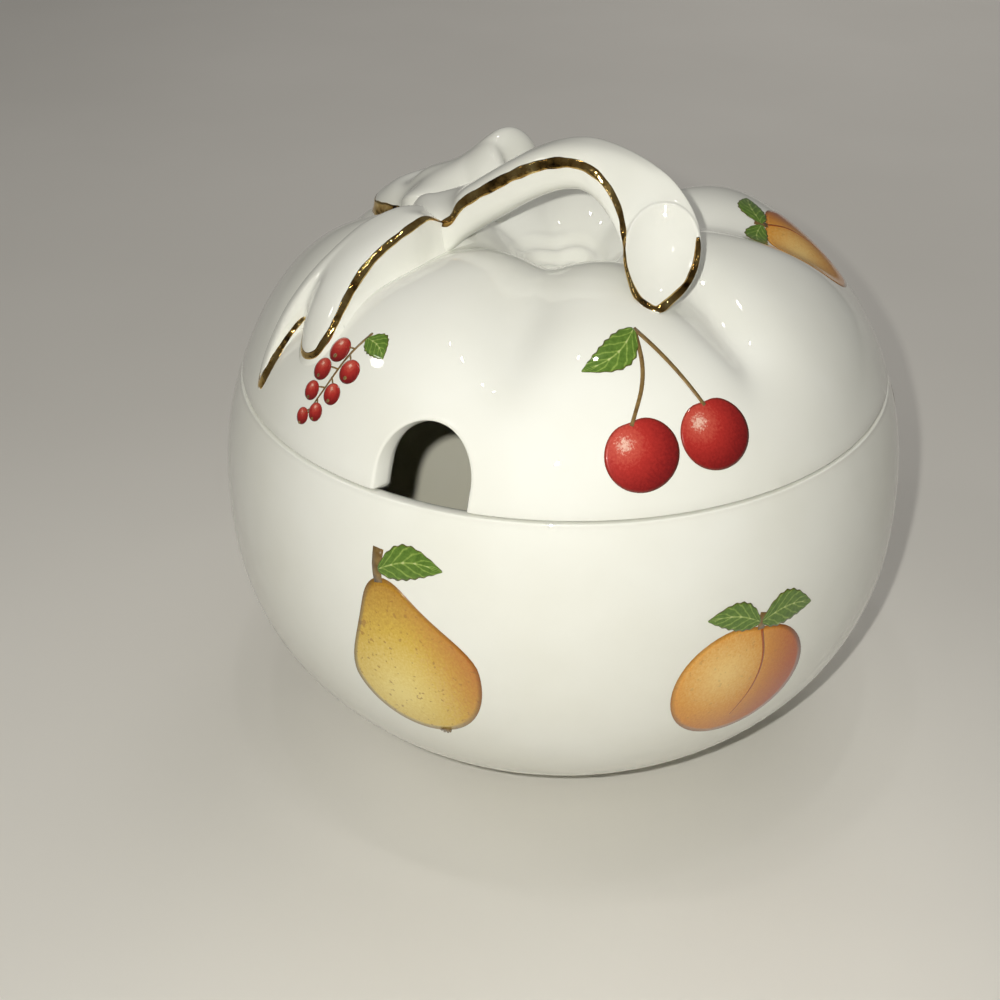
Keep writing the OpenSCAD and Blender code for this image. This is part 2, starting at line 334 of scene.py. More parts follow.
def lid_top(x, y):
    """Outside of the lid, with a soft groove, a full lobe behind it and a crease by the twig."""
    height = lobed_dome(x, y, 0.0, EDGE_R) + wrinkles(x, y)
    swell = SWELL_RISE * np.exp(-((x - SWELL_AT[0]) ** 2 + (y - SWELL_AT[1]) ** 2) / SWELL_SPREAD ** 2)
    crease = CREASE_DEPTH * furrow(x, y, **CREASE_LINE)
    return height + SOFT_RISE * furrow(x, y, **SOFT_LINE) + swell - crease


def lid_under(x, y):
    return lobed_dome(x, y, LID_WALL, INNER_R)


def smooth_top(x, y):
    return smooth_dome(np.hypot(x, y), 0.0, EDGE_R)


# Meshes

def add_object(name, data):
    thing = bpy.data.objects.new(name, data)
    bpy.context.collection.objects.link(thing)
    return thing


def numbered(grid):
    return np.arange(grid.size // 3).reshape(grid.shape[:2])


def grid_faces(numbers, wrap=False):
    """Quads between the points of a grid, closed along its rows if wrapped."""
    after = np.roll(numbers, -1, axis=1)
    quads = np.stack([numbers[:-1], after[:-1], after[1:], numbers[1:]], -1)
    return (quads if wrap else quads[:, :-1]).reshape(-1, 4).tolist()


def shell(top, under, wrap=False):
    """Points and faces of a closed skin between two grids of the same shape."""
    upper = numbered(top)
    count = upper.size
    faces = grid_faces(upper, wrap) + [face[::-1] for face in grid_faces(upper + count, wrap)]
    border = [*upper[-1], upper[-1, 0]]
    if not wrap:
        border = [*upper[0], *upper[1:, -1], *upper[-1, -2::-1], *upper[-2::-1, 0]]
    faces += [(a, b, b + count, a + count) for a, b in zip(border, border[1:])]
    return np.concatenate([top.reshape(-1, 3), under.reshape(-1, 3)]), faces


class Skin:
    """Points and faces collected for one piece."""

    def __init__(self):
        self.points = []
        self.faces = []
        self.materials = []
        self.spots = []
        self.count = 0

    def add(self, points, faces, material=0, spots=0.0):
        """Adds points and faces; spots are a print's own coordinates at the points."""
        points = np.reshape(points, (-1, 3))
        self.points.append(points)
        self.spots.append(np.broadcast_to(spots, points.shape))
        self.faces += [tuple(self.count + i for i in face) for face in faces]
        self.materials += [material] * len(faces)
        self.count += len(points)

    def add_grid(self, grid, wrap=False):
        self.add(grid, grid_faces(numbered(grid), wrap))

    def piece(self, name, body, slot, materials):
        """Welds the skin into a smooth closed mesh that rides on a body."""
        shape = bmesh.new()
        spots = np.concatenate(self.spots)
        layer = shape.verts.layers.float_vector.new("spot") if spots.any() else None
        corners = [shape.verts.new(point) for point in np.concatenate(self.points) * MM]
        for corner, spot in zip(corners, spots):
            if layer:
                corner[layer] = spot
        for face, material in zip(self.faces, self.materials):
            shape.faces.new([corners[i] for i in face]).material_index = material
        bmesh.ops.remove_doubles(shape, verts=shape.verts, dist=WELD)
        bmesh.ops.recalc_face_normals(shape, faces=shape.faces)
        for face in shape.faces:
            face.smooth = True
        mesh = bpy.data.meshes.new(name)
        shape.to_mesh(mesh)
        shape.free()
        for material in materials:
            mesh.materials.append(material)
        piece = add_object(name, mesh)
        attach(piece, body)
        return piece


def swept(section, angles):
    """Grid of a section of radius and height, carried round the pot's axis."""
    radii, heights = np.array(section).T[:, :, None]
    return np.stack(np.broadcast_arrays(radii * np.cos(angles), radii * np.sin(angles), heights), -1)


def rounded(points, radius, steps=5):
    """A line of points with its inner corners rounded by short curves."""
    points = [np.array(point, float) for point in points]
    line = [points[0]]
    for before, corner, after in zip(points, points[1:], points[2:]):
        start = corner + (before - corner) / np.linalg.norm(before - corner) * radius
        end = corner + (after - corner) / np.linalg.norm(after - corner) * radius
        for t in np.linspace(0, 1, steps):
            line.append((1 - t) ** 2 * start + 2 * t * (1 - t) * corner + t * t * end)
    return line + [points[-1]]


# Materials

class Paint:
    """A node material in the making."""

    def __init__(self, name):
        self.material = bpy.data.materials.new(name)
        self.material.use_nodes = True
        self.tree = self.material.node_tree
        self.shader = self.tree.nodes["Principled BSDF"]

    def add(self, kind, modes=None, **inputs):
        """Adds a node; an input is a value or a node's output."""
        node = self.tree.nodes.new("ShaderNode" + kind)
        for name, value in (modes or {}).items():
            setattr(node, name, value)
        for name, value in inputs.items():
            self.feed(node.inputs[name.replace("_", " ")], value)
        return node

    def feed(self, socket, value):
        if isinstance(value, bpy.types.NodeSocket):
            self.tree.links.new(value, socket)
        else:
            socket.default_value = value

    def set(self, **inputs):
        for name, value in inputs.items():
            self.feed(self.shader.inputs[name.replace("_", " ")], value)

    def noise(self, scale, detail=2.0, roughness=0.5, place=None):
        """Noise over the piece itself, or over other coordinates."""
        place = place or self.add("TexCoord").outputs["Object"]
        return self.add("TexNoise", Vector=place, Scale=scale, Detail=detail,
                        Roughness=roughness).outputs["Fac"]

    def ramp(self, factor, *stops):
        """Colour ramp from pairs of place and colour."""
        ramp = self.add("ValToRGB", Fac=factor)
        elements = ramp.color_ramp.elements
        while len(elements) < len(stops):
            elements.new(1.0)
        for element, (at, colour) in zip(elements, stops):
            element.position = at
            element.color = (*colour, 1.0)
        return ramp.outputs["Color"]

    def math(self, operation, *values):
        node = self.add("Math", {"operation": operation})
        for socket, value in zip(node.inputs, values):
            self.feed(socket, value)
        return node.outputs["Value"]

    def mix(self, factor, below, above):
        """Colour part of the way from a node's colour to a plain one."""
        return self.add("MixRGB", Fac=factor, Color1=below, Color2=(*above, 1.0)).outputs["Color"]

    def span(self, value, low, high, to_low, to_high):
        """A value carried from one range to another."""
        return self.add("MapRange", Value=value, From_Min=low, From_Max=high, To_Min=to_low,
                        To_Max=to_high).outputs["Result"]

    def bump(self, height, distance, **below):
        """Relief of a height, which may lie on the Normal of a relief below."""
        return self.add("Bump", Height=height, Distance=distance, **below).outputs["Normal"]


GLAZE_IOR = 1.52
WAVE_SCALE = 95
WAVE_DEPTH = 0.00012
GLAZE_WHITE = (0.84, 0.845, 0.79)
GLAZE_CREAM = (0.79, 0.79, 0.72)
# Lighter, warmer whites for the inside of the bowl: painted light on the same white porcelain.
PAINTED_LIGHT_INSIDE_WHITE = (0.93, 0.91, 0.77)
PAINTED_LIGHT_INSIDE_CREAM = (0.90, 0.87, 0.70)


def glaze_waves(paint):
    return paint.bump(paint.noise(WAVE_SCALE, detail=1), WAVE_DEPTH)


def porcelain(name, white, cream):
    """White porcelain under a clear gloss glaze that pools and waves."""
    paint = Paint(name)
    pooling = paint.noise(45, detail=3)
    speckle = paint.noise(900, detail=2)
    waves = glaze_waves(paint)
    paint.set(Base_Color=paint.ramp(pooling, (0.35, white), (0.75, cream)),
              Roughness=paint.span(speckle, 0.3, 0.7, 0.16, 0.24), IOR=GLAZE_IOR, Specular_IOR_Level=0.0,
              Coat_Weight=1.0, Coat_Roughness=0.015, Coat_Normal=waves,
              Normal=paint.bump(speckle, 0.000004, Normal=waves))
    return paint.material


def bisque():
    """Bare fired porcelain on the underside of the foot ring."""
    paint = Paint("unglazed_foot")
    grain = paint.noise(2200, detail=4, roughness=0.7)
    stain = paint.noise(120, detail=4)
    paint.set(Base_Color=paint.ramp(stain, (0.3, (0.74, 0.71, 0.64)), (0.75, (0.56, 0.52, 0.44))),
              Roughness=paint.span(grain, 0.3, 0.7, 0.75, 0.95),
              Normal=paint.bump(grain, 0.00005))
    return paint.material


# Bowl

def bowl_profile():
    """Radius and height from under the floor, round the rim, to the inner floor."""
    shoulder_z = SEAM_Z - EDGE_ROUND
    wall_z = FOOT_H + FOOT_RUN
    foot_in = FOOT_R - FOOT_W
    foot = rounded([(0, FOOT_H), (foot_in, FOOT_H), (foot_in, 0), (FOOT_R, 0), (FOOT_R, FOOT_H),
                    (body_r(wall_z), wall_z)], FOOT_ROUND)
    outer = [(body_r(z), z) for z in np.linspace(wall_z, shoulder_z, WALL_STEPS)[1:]]
    inner_z = blend(FLOOR_Z, SEAM_Z - RIM_FALL, np.linspace(1, 0, WALL_STEPS) ** 2)
    inner = [(body_r(z, BOWL_WALL), z) for z in inner_z]
    rim_r = outer[-1][0] - EDGE_ROUND
    rim_w = rim_r - inner[0][0]
    turns = np.linspace(0, math.pi / 2, LIP_STEPS)
    lip_out = [(rim_r + EDGE_ROUND * math.cos(t), shoulder_z + EDGE_ROUND * math.sin(t))
               for t in turns[1:]]
    lip_in = [(rim_r - rim_w * math.cos(t), SEAM_Z - RIM_FALL * (1 - math.sin(t)))
              for t in turns[-2:0:-1]]
    floor = [(r, FLOOR_Z) for r in np.linspace(inner[-1][0], 0, FLOOR_STEPS)[1:]]
    return foot + outer + lip_out + lip_in + inner + floor


def make_bowl(materials):
    """Bowl with a bare foot ring; its inside is the same white porcelain, given a lighter and warmer
    colour as painted light.
    """
    skin = Skin()
    profile = bowl_profile()
    angles = np.linspace(0, 2 * math.pi, BOWL_SEGMENTS, endpoint=False)
    skin.add_grid(swept(profile, angles), wrap=True)
    inside = max(range(len(profile)), key=lambda i: profile[i][1])
    for index, face in enumerate(skin.faces):
        heights = skin.points[0][list(face), 2]
        if max(heights) < BARE_Z:
            skin.materials[index] = 1
        elif min(face) >= inside * BOWL_SEGMENTS and max(heights) <= SEAM_Z - RIM_FALL + WELD:
            # Faces inside the bowl take the lighter, warmer glaze copy, which is painted light.
            skin.materials[index] = 2
    bowl = skin.piece("bowl", "bowl", "porcelain", materials)
    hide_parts("pot")
    return bowl


# Lid

def notch_outline(offset):
    """Outline of the spoon notch from its left foot to its right foot."""
    half = NOTCH_W / 2 + offset
    foot = EDGE_Z - EDGE_ROUND * np.sin(np.linspace(math.pi / 2, 0, EDGE_STEPS))
    side = np.concatenate([foot, np.linspace(EDGE_Z, SPRING_Z, SIDE_STEPS)[1:]])
    arch = np.linspace(math.pi, 0, ARCH_STEPS)[1:-1]
    x = np.concatenate([np.full(len(side), -half), half * np.cos(arch), np.full(len(side), half)])
    z = np.concatenate([side, SPRING_Z + half * np.sin(arch), side[::-1]])
    return x, z


def reach_height(surface, x, z, far_r):
    """Y on the notch's side at which a surface comes up to height z."""
    low, high = -np.sqrt(far_r ** 2 - x ** 2), np.full(len(x), -far_r / 2)
    for _ in range(HALVINGS):
        middle = (low + high) / 2
        above = surface(x, middle) > z
        low, high = np.where(above, low, middle), np.where(above, middle, high)
    return low


def outer_notch_y(x, z):
    drop = np.clip((EDGE_Z - z) / EDGE_ROUND, 0, 1)
    rim_r = EDGE_R - EDGE_ROUND * (1 - np.sqrt(1 - drop ** 2))
    on_dome = reach_height(lid_top, x, z, EDGE_R)
    return np.where(z < EDGE_Z, -np.sqrt(rim_r ** 2 - x ** 2), on_dome)


def notch_rings():
    """Rings through the notch's splayed wall and its rounded edges."""
    rings = []
    wall = [(NOTCH_REACH, 0), (NOTCH_SPLAY, 0), NOTCH_NECK, (0, NOTCH_DEPTH)]
    for offset, depth in rounded(wall, NOTCH_ROUND):
        x, z = notch_outline(offset)
        rings.append(np.stack([x, outer_notch_y(x, z) + depth, z], -1))
    for turn in np.linspace(math.pi / 2, 0, EDGE_STEPS):
        x, z = notch_outline(NOTCH_INNER_ROUND * (1 - math.sin(turn)))
        y = reach_height(lid_under, x, z, INNER_R)
        rings.append(np.stack([x, y - NOTCH_INNER_ROUND * (1 - math.cos(turn)), z], -1))
    rings = np.array(rings)
    for foot in (0, -1):
        rings[:, foot, 2] = rim_under(np.hypot(rings[:, foot, 0], rings[:, foot, 1]))
    return rings


def rim_under(r):
    """Underside of the lid's rim, which follows the fall of the bowl's rim."""
    share = np.clip((EDGE_R - EDGE_ROUND - r) / (EDGE_R - EDGE_ROUND - INNER_R), 0, 1)
    return RIM_Z - LID_FALL * PEAK * share * share * (1 - share)


def open_arc(r, reach, count):
    """Angles of a circle that stays open at the notch, with a reach to each side."""
    gap = math.asin((NOTCH_W / 2 + reach) / r)
    return np.linspace(-math.pi / 2 + gap, 1.5 * math.pi - gap, count)


def rim_ring(r, z):
    angles = open_arc(r, NOTCH_REACH, RIM_STEPS)
    return np.stack([r * np.cos(angles), r * np.sin(angles), np.full(RIM_STEPS, z)], -1)


def dome_patch(surface, edge, notch, spacing):
    """Triangles of a dome inside its rim circle and the notch's edge."""
    border = np.concatenate([edge, notch])[:, :2]
    edge_r = np.hypot(*edge[0, :2])
    inside = []
    rings = int(edge_r * RINGS_SHARE / spacing)
    radii = edge_r * np.sin(math.pi / 2 * np.arange(rings) / rings)
    radii = np.concatenate([np.arange(0, FINE_R, FINE_STEP), radii[radii > FINE_R + FINE_STEP]])
    for ring, r in enumerate(radii):
        count = max(1, round(2 * math.pi * r / (FINE_STEP if r < FINE_R else spacing)))
        angles = 2 * math.pi * (np.arange(count) + 0.5 * (ring % 2)) / count
        inside.append(np.stack([r * np.cos(angles), r * np.sin(angles)], -1))
    inside = np.concatenate(inside)
    x, y = inside.T
    half = NOTCH_W / 2 + NOTCH_REACH + spacing * NOTCH_CLEAR
    arch = SPRING_Z + np.sqrt(np.maximum(0, half ** 2 - x ** 2))
    blocked = (np.abs(x) < half) & (y < 0) & (surface(x, y) < arch)
    inside = inside[~blocked & (np.hypot(x, y) < edge_r - spacing * RIM_CLEAR)]
    flat = [Vector(point) for point in np.concatenate([border, inside])]
    found = delaunay_2d_cdt(flat, [], [list(range(len(border)))], INSIDE_ONLY, SAME_POINT)
    plan = np.array([tuple(point) for point in found[0]])
    return np.column_stack([plan, surface(plan[:, 0], plan[:, 1])]), found[2]


def make_lid(materials):
    rings = notch_rings()
    skin = Skin()
    skin.add_grid(rings)
    rim = [rim_ring(EDGE_R - EDGE_ROUND * (1 - math.cos(t)), EDGE_Z - EDGE_ROUND * math.sin(t))
           for t in np.linspace(0, math.pi / 2, EDGE_STEPS)]
    skin.add_grid(np.array(rim))
    under = np.array([rim_ring(r, rim_under(r))
                      for r in np.linspace(EDGE_R - EDGE_ROUND, INNER_R, len(rings))])
    under[:, 0], under[:, -1] = rings[:, -1], rings[:, 0]
    skin.add_grid(under)
    on_dome = rings[0][rings[0][:, 2] > EDGE_Z + WELD]
    skin.add(*dome_patch(lid_top, rim[0], on_dome, TOP_SPACING))
    skin.add(*dome_patch(lid_under, under[-1], rings[-1][1:-1], UNDER_SPACING))
    skin.add(*flange())
    lid = skin.piece("lid_dome", "cover", "porcelain", materials)
    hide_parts("lid")
    return lid


def flange():
    """The ring that locates the lid in the bowl's mouth, open at the notch."""
    angles = open_arc(FLANGE_R, 2 * NOTCH_REACH, FLANGE_STEPS)
    inner_r = FLANGE_R - FLANGE_W
    section = rounded([(inner_r, FLANGE_TOP), (inner_r, FLANGE_Z), (FLANGE_R, FLANGE_Z),
                       (FLANGE_R, RIM_Z + FLANGE_SHOULDER), (FLANGE_R - FLANGE_SHOULDER, FLANGE_TOP)],
                      FLANGE_ROUND)
    grid = swept(section, angles).transpose(1, 0, 2)
    numbers = numbered(grid)
    return grid, grid_faces(numbers, True) + [numbers[0].tolist(), numbers[-1, ::-1].tolist()]


# Twig handle

CUT_LEVEL, CUT_LIFT = direction(CUT_PITCH)
CUT_ALONG = np.append(CUT_LEVEL * direction(CUT_YAW), CUT_LIFT)
CUT_ACROSS = np.append(direction(CUT_YAW + 90), 0)
CUT_RISE = np.cross(CUT_ALONG, CUT_ACROSS)
CUT_RUN = (math.sin(math.radians(CUT_SLANT)) * CUT_ALONG
           - math.cos(math.radians(CUT_SLANT)) * CUT_RISE)
CUT_PLAN = np.array([TWIG_START + TWIG_L, TWIG_Y - CUT_FORWARD])
CUT_LOW = CUT_PLAN - CUT_H / 2 * CUT_RISE[:2]
START_Z = lid_top(TWIG_START, TWIG_Y) + TWIG_T / 2 - TWIG_SINK
END_Z = lid_top(*CUT_LOW) + CUT_H / 2 * CUT_RISE[2]
CUT_CENTRE = np.append(CUT_PLAN, END_Z)


def twig_z(u):
    return blend(START_Z, END_Z, u) + ARCH_RISE * math.sin(math.pi * max(0, u) ** ARCH_LEAN)


def twig_slope(u):
    return (twig_z(u + SLOPE_STEP) - twig_z(u - SLOPE_STEP)) / (2 * SLOPE_STEP)


def squared(share):
    """Fuller share across or up, which makes an oval squarer."""
    return np.sign(share) * np.abs(share) ** (2 / TWIG_SQUARE)


def arch_ring(u, share, angles):
    """Ring of the twig's arch; near the leaf it leans over into the mitre."""
    mitred = 1 - ease(u / MITRE_TO)
    pitch = math.atan2(twig_slope(u), TWIG_L) * (1 - mitred)
    centre = np.array([TWIG_START + TWIG_L * u, TWIG_Y, twig_z(u)])
    across = np.array([-math.tan(math.radians(MITRE)) * mitred, 1, 0])
    rise = np.array([-math.sin(pitch), 0, math.cos(pitch)])
    wide, tall = squared(np.cos(angles)), squared(np.sin(angles))
    half_w = blend(ROOT_W, TWIG_W, ease(u / ROOT_TO)) / 2
    return centre + share * (half_w * np.outer(wide, across) + TWIG_T / 2 * np.outer(tall, rise))


def cut_ring(share, back, angles):
    """Ring of the egg-shaped cut end, or a smaller one set back from it."""
    wide = np.cos(angles) * np.where(np.sin(angles) < 0, np.abs(np.cos(angles)) ** (CUT_POINT - 1), 1)
    tall = np.sin(angles)
    return (CUT_CENTRE - back * CUT_ALONG
            + share * (CUT_W / 2 * np.outer(wide, CUT_ACROSS) + CUT_H / 2 * np.outer(tall, CUT_RISE)))


TWIG_ANGLES = np.linspace(0, 2 * math.pi, TWIG_POINTS, endpoint=False)


def twig_ring(u, share=1.0, angles=TWIG_ANGLES):
    """Ring of the twig: the arch, then a smooth run into the cut end."""
    if u <= ARCH_TO:
        return settle(arch_ring(u, share, angles))
    t = (u - ARCH_TO) / (1 - ARCH_TO)
    start, end = arch_ring(ARCH_TO, 1, angles), cut_ring(1, 0, angles)
    leave = (1 - ARCH_TO) * np.array([TWIG_L, 0, twig_slope(ARCH_TO)])
    arrive = END_RUN * CUT_RUN
    ring = ((2 * t ** 3 - 3 * t ** 2 + 1) * start + (t ** 3 - 2 * t ** 2 + t) * leave
            + (3 * t ** 2 - 2 * t ** 3) * end + (t ** 3 - t ** 2) * arrive)
    return settle(ring)


def settle(ring):
    """Lays the low points of a ring on the lid, with a fillet of slip."""
    height = ring[:, 2] - lid_top(ring[:, 0], ring[:, 1])
    near = np.exp(-(np.maximum(height, 0) / SLIP_REACH) ** 2)
    height = (height + np.sqrt(height ** 2 + SLIP_ROUND ** 2)) / 2 - SLIP_SINK * near
    away = ring[:, :2] - ring[:, :2].mean(axis=0)
    away /= np.maximum(np.linalg.norm(away, axis=1), 1e-6)[:, None]
    laid = ring.copy()
    laid[:, :2] += SLIP_FLARE * near[:, None] * away
    laid[:, 2] = height + lid_top(laid[:, 0], laid[:, 1])
    return laid


def brow(share):
    """How far the upper edge of the cut end is rounded down."""
    upper = np.maximum(0, np.sin(TWIG_ANGLES)) ** 2
    return BROW * share * np.outer(upper, CUT_RISE + CUT_ALONG * BROW_BACK)


def make_twig(materials):
    turns = np.linspace(0, math.pi / 2, NOSE_STEPS)[:-1]
    root = [twig_ring(-NOSE * math.cos(turn), math.sin(turn)) for turn in turns]
    rings = [twig_ring(u) - brow(ease((u - BROW_FROM) / (1 - BROW_FROM)))
             for u in np.linspace(0, 1, TWIG_STEPS)]
    lip = [settle(cut_ring(share, back, TWIG_ANGLES)) - brow(share) for share, back in CUT_LIP]
    hollow = []
    for share in np.linspace(HOLLOW_FROM, 0, HOLLOW_STEPS):
        back = CUT_HOLLOW * (1 - (share / HOLLOW_R) ** 2)
        hollow.append(settle(cut_ring(share, back, TWIG_ANGLES)) - brow(share ** 3))
    skin = Skin()
    skin.add_grid(np.array(root + rings + lip + hollow), wrap=True)
    twig = skin.piece("twig_handle", "cover", "porcelain", materials)
    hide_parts("stem_handle")
    return twig


# Front leaf

MITRE_SIDE = direction(MITRE - 90)
LEAF_START = np.array([TWIG_START, TWIG_Y]) + LEAF_SHIFT * MITRE_SIDE
LEAF_MID = LEAF_START + LEAF_L / 2 * direction(LEAF_HEADING)
LEAF_END = LEAF_MID + LEAF_L / 2 * direction(LEAF_HEADING + LEAF_BEND)


def leaf_plan(s, v):
    """Point and side of the front leaf in plan, along from 0 to 1 and across from -1 to 1."""
    notch_w = np.where(v < TIP_NOTCH_AT, BACK_NOTCH_W, FRONT_NOTCH_W)
    reach = (1 - TIP_LAG * (1 + v) - TIP_ROUND * v ** TIP_SQUARE
             - TIP_NOTCH * np.exp(-((v - TIP_NOTCH_AT) / notch_w) ** 2))
    u = (s * reach)[..., None]
    midrib = (1 - u) ** 2 * LEAF_START + 2 * u * (1 - u) * LEAF_MID + u * u * LEAF_END
    half_w = blend(LEAF_W, TIPS_W, ease((u - TIPS_FROM) / (1 - TIPS_FROM))) / 2
    side = leaf_side(u)
    return midrib + v[..., None] * half_w * side, side


def leaf_side(u):
    run = (1 - u) * (LEAF_MID - LEAF_START) + u * (LEAF_END - LEAF_MID)
    side = blend(MITRE_SIDE, left_of(run), ease(u / RIBS_TURN))
    return side / np.linalg.norm(side, axis=-1, keepdims=True)


def leaf_surface(s, v):
    """Top of the front leaf; s and v past 1 run down a skirt of slip to the lid."""
    inner_s, inner_v = np.minimum(s, 1), np.clip(v, -1, 1)
    over_s, over_v = s - inner_s, v - inner_v
    plan, side = leaf_plan(inner_s, inner_v)
    behind, ahead = (leaf_plan(np.ones_like(v), np.clip(inner_v + step, -1, 1))[0]
                     for step in (-SLOPE_STEP, SLOPE_STEP))
    outward = -left_of(ahead - behind)
    plan = plan + LEAF_SKIRT * (over_v[..., None] * side + over_s[..., None] * outward)
    fall = (np.maximum(0, 1 - np.abs(over_v)) * np.maximum(0, 1 - over_s)) ** SKIRT_FALL
    edge = blend(BASE_EDGE, TIPS_EDGE, np.maximum(0, inner_s))
    end_fall = curve(np.maximum(0, inner_s), END_CROWN)
    height = LEAF_T * blend(edge, 1, curve(inner_v, LEAF_CROWN) * end_fall)
    x, y = plan[..., 0], plan[..., 1]
    bridged = 1 - ease((inner_s - BRIDGE_FROM) / (BRIDGE_TO - BRIDGE_FROM))
    on_lid = lid_top(x, y)
    ground = blend(on_lid - SLIP_SINK, blend(on_lid, smooth_top(x, y), bridged), fall)
    root = ease((inner_s + ROOT_BACK) / blend(BACK_ROOT_RISE, ROOT_RISE, (inner_v + 1) / 2))
    return np.stack([x, y, blend(on_lid - SLIP_SINK, ground + height * fall, root)], -1)


SKIRT = np.linspace(0, 1, SKIRT_STEPS)[1:]


def leaf_skin(top, wrap=False):
    """Closed skin between the top of a leaf and the lid under it."""
    under = top.copy()
    under[..., 2] = lid_top(top[..., 0], top[..., 1]) - 2 * SLIP_SINK
    skin = Skin()
    skin.add(*shell(top, under, wrap))
    return skin


def make_front_leaf(materials):
    s = np.concatenate([np.linspace(-ROOT_BACK, 1, LEAF_STEPS), 1 + SKIRT])
    across = np.sin(np.linspace(-math.pi / 2, math.pi / 2, LEAF_POINTS))
    v = np.concatenate([-1 - SKIRT[::-1], across, 1 + SKIRT])
    skin = leaf_skin(leaf_surface(*np.meshgrid(s, v, indexing="ij")))
    leaf = skin.piece("leaf_front", "cover", "porcelain", materials)
    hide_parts("front_leaf")
    return leaf


# Rear leaf

def rear_surface(s, angle):
    """Top of the rear leaf; s past 1 runs down a skirt of slip to the lid."""
    inner, over = np.minimum(s, 1), np.maximum(0, s - 1)
    reach = REAR_R * (1 + REAR_LOBE * np.cos(REAR_LOBES * (angle - math.radians(REAR_TURN)))
                      + REAR_STRETCH * np.cos(angle - math.radians(REAR_LEAN)))
    far = inner * reach + over * LEAF_SKIRT
    plan = REAR_AT + far[..., None] * np.stack([np.cos(angle), np.sin(angle)], -1)
    fall = (1 - over) ** SKIRT_FALL
    hump = REAR_HUMP * np.exp(-(np.linalg.norm(plan - HUMP_AT, axis=-1) / HUMP_SPREAD) ** HUMP_FALL)
    off = (np.degrees(angle) - REAR_TURN) / FOLD_SPREAD
    fold = FOLD_DEPTH * np.exp(-((far - FOLD_AT) / FOLD_W) ** 2 - off ** 2)
    height = REAR_T * REAR_EDGE + curve(inner, REAR_CROWN) * (REAR_T * (1 - REAR_EDGE) + hump) - fold
    x, y = plan[..., 0], plan[..., 1]
    on_lid = lid_top(x, y)
    ground = blend(on_lid - SLIP_SINK, blend(on_lid, smooth_top(x, y), curve(inner, 2)), fall)
    return np.stack([x, y, ground + height * fall], -1)


def make_rear_leaf(materials):
    s = np.concatenate([np.sin(np.linspace(0, math.pi / 2, REAR_STEPS)), 1 + SKIRT])
    angles = np.linspace(0, 2 * math.pi, REAR_POINTS, endpoint=False)
    skin = leaf_skin(rear_surface(*np.meshgrid(s, angles, indexing="ij")), wrap=True)
    leaf = skin.piece("leaf_rear", "cover", "porcelain", materials)
    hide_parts("rear_leaf")
    return leaf


# Gold lines

GOLD_LIFT = 0.06
GOLD_STEP = 0.4
BAND_POINTS = 7
BRUSH_WAVE = 0.14
BRUSH_TURNS = (0.61, 0.17)
TAPER_ROWS = 3
LEAF_EDGE = 0.93
LEAF_WIDTHS = (0.6, 0.75, 0.62, 0.8, 0.55, 0.6, 0.45, 0.3, 0.45, 0.8, 0.7)
TWIG_WIDTHS = (0.7, 0.85, 0.9, 0.9, 0.85, 0.7, 0.5, 0.45, 0.5, 0.95, 0.9, 0.85, 0.6)
TIP_WIDTHS = (0.3, 1.2, 1.4, 1.2, 0.3)
TWIG_STATIONS = ((-0.01, 156), (0.2, 158), (0.4, 162), (0.6, 164), (0.75, 166), (0.85, 170), (0.92, 174))
EDGE_RUN = np.linspace(0, 0.9, 60)
TIPS_RUN = (np.linspace(0.985, 1.2, 90), np.linspace(0.9, -0.97, 90))
OVAL_TURNS = np.linspace(184, 378, 60)
OVAL_SHARES = blend(0.985, 0.93, ease((OVAL_TURNS - 250) / 60))
OVAL_BACK = -0.25
TIP_TURNS = np.linspace(164, 228, 40)
TIP_REACH = 1.1


def smooth_line(points, spacing):
    """A line through a few points, smoothed and spaced evenly."""
    points = np.array(points, float)
    for _ in range(3):
        mixed = np.repeat(points, 2, axis=0)
        mixed[1:-1:2] = 0.75 * points[:-1] + 0.25 * points[1:]
        mixed[2::2] = 0.25 * points[:-1] + 0.75 * points[1:]
        points = mixed
    reach = np.concatenate([[0], np.cumsum(np.linalg.norm(np.diff(points, axis=0), axis=1))])
    even = np.linspace(0, reach[-1], max(2, int(reach[-1] / spacing)))
    return np.stack([np.interp(even, reach, column) for column in points.T], -1)


def tree_of(*pieces):
    points, faces = [], []
    for piece in pieces:
        start = len(points)
        points += [vertex.co.copy() for vertex in piece.data.vertices]
        faces += [[start + i for i in face.vertices] for face in piece.data.polygons]
    return BVHTree.FromPolygons(points, faces)


def evened(rows):
    """Rows averaged with their neighbours, with the first and last kept."""
    smooth = rows.copy()
    for _ in range(2):
        smooth[1:-1] = (smooth[:-2] + 2 * smooth[1:-1] + smooth[2:]) / 4
    return smooth


def lay_band(skin, tree, line, widths):
    """Lays a thin closed band along a line, with half widths along it."""
    count = len(line)
    half_widths = np.interp(np.linspace(0, 1, count), np.linspace(0, 1, len(widths)), widths)
    line = line.copy()
    line[:, 2] = np.maximum(line[:, 2], lid_top(line[:, 0], line[:, 1]) + 2 * GOLD_LIFT)
    runs = np.gradient(line, axis=0)
    hits = [tree.find_nearest(Vector(point * MM)) for point in line]
    places, normals = (evened(np.array([tuple(hit[k]) for hit in hits])) for k in (0, 1))
    top, under = np.zeros((2, count, BAND_POINTS, 3))
    for i, (place, normal, run) in enumerate(zip(places, normals, runs)):
        side = Vector(normal).cross(Vector(run)).normalized()
        wave = 1 + BRUSH_WAVE * math.sin(BRUSH_TURNS[0] * i) * math.sin(BRUSH_TURNS[1] * i + 1)
        taper = math.sqrt(min(1, (i + 0.5) / TAPER_ROWS, (count - i - 0.5) / TAPER_ROWS))
        for j, share in enumerate(np.linspace(-1, 1, BAND_POINTS)):
            there = Vector(place) + side * share * half_widths[i] * wave * taper * MM
            spot, up, _, _ = tree.find_nearest(there)
            top[i, j] = np.array(spot + up * GOLD_LIFT * MM) / MM
            under[i, j] = np.array(spot - up * GOLD_LIFT * MM) / MM
    skin.add(*shell(evened(top), evened(under)))


